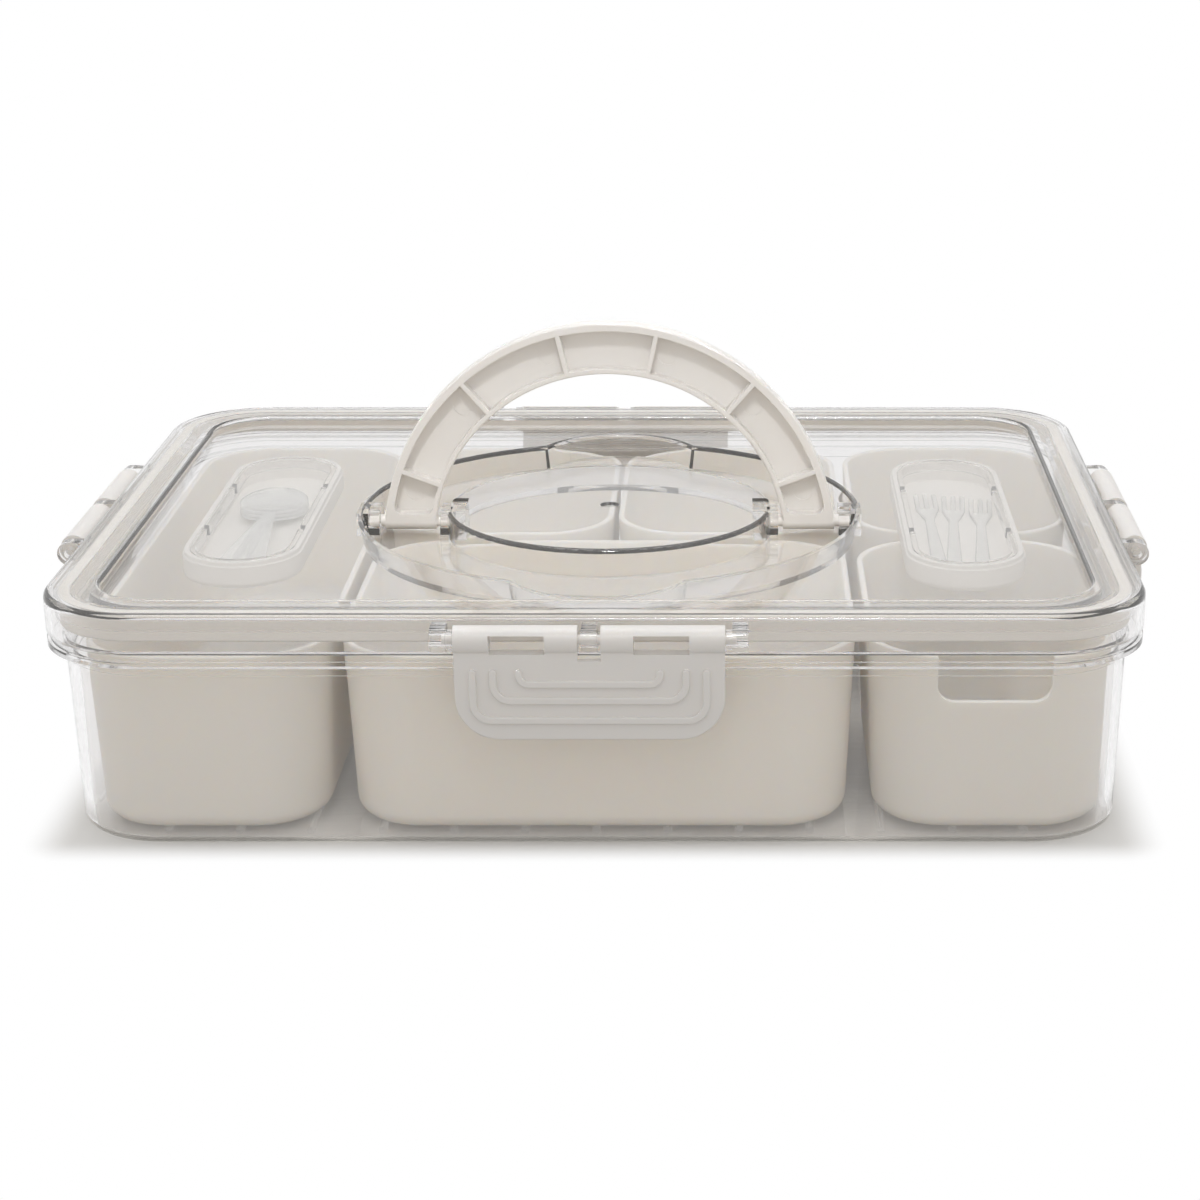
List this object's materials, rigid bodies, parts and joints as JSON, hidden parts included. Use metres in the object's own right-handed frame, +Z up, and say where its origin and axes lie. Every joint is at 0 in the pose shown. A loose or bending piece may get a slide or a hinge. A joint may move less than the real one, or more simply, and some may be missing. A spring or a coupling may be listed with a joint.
{
  "type": "divided grazing box",
  "caption": "Clear rectangular food box with loose inner boxes, a lift-off lid held by snap latches, a fold-down arch handle, and small clip-on trays of forks and spoons.",
  "frame": {"origin": "centre of the tub's foot, on the surface it stands on", "axes": "+X along the long side towards the right-hand latch, +Y towards the back latch, +Z up"},
  "size_m": [0.3424, 0.2584, 0.1321],
  "materials": {
    "clear_plastic": "clear polished",
    "white_plastic": "warm white, moulded satin",
    "seal_rubber": "pale silicone",
    "frosted_plastic": "frosted translucent",
    "cutlery_plastic": "smoky clear"
  },
  "bodies": {
    "tub": {"tub": "clear_plastic", "box_left": "white_plastic", "box_centre_front": "white_plastic", "box_centre_back_left": "white_plastic", "box_centre_back_right": "white_plastic", "box_right_front": "white_plastic", "box_right_back": "white_plastic"},
    "lid": {"lid": "clear_plastic", "gasket": "seal_rubber", "utensil_tray_left": "frosted_plastic", "utensil_tray_right": "frosted_plastic", "spoon_1": "cutlery_plastic", "spoon_2": "cutlery_plastic", "spoon_3": "cutlery_plastic", "fork_1": "cutlery_plastic", "fork_2": "cutlery_plastic", "fork_3": "cutlery_plastic"},
    "handle": {"handle": "white_plastic"},
    "latch_front": {"latch_front": "white_plastic"},
    "latch_back": {"latch_back": "white_plastic"},
    "latch_left": {"latch_left": "white_plastic"},
    "latch_right": {"latch_right": "white_plastic"}
  },
  "joints": [
    {"name": "lid_lift", "type": "slide", "parent": "tub", "child": "lid", "axis": [0, 0, 1], "range_m": [0, 0.15]},
    {"name": "handle_fold", "type": "hinge", "parent": "lid", "child": "handle", "pos_m": [0, 0, 0.0654], "axis": [1, 0, 0], "range_deg": [-90, 90]},
    {"name": "latch_front_open", "type": "hinge", "parent": "lid", "child": "latch_front", "pos_m": [0, -0.1251, 0.068], "axis": [-1, 0, 0], "range_deg": [0, 110]},
    {"name": "latch_back_open", "type": "hinge", "parent": "lid", "child": "latch_back", "pos_m": [0, 0.1251, 0.068], "axis": [1, 0, 0], "range_deg": [0, 110]},
    {"name": "latch_left_open", "type": "hinge", "parent": "lid", "child": "latch_left", "pos_m": [-0.1671, 0, 0.068], "axis": [0, 1, 0], "range_deg": [0, 110]},
    {"name": "latch_right_open", "type": "hinge", "parent": "lid", "child": "latch_right", "pos_m": [0.1671, 0, 0.068], "axis": [0, -1, 0], "range_deg": [0, 110]}
  ]
}
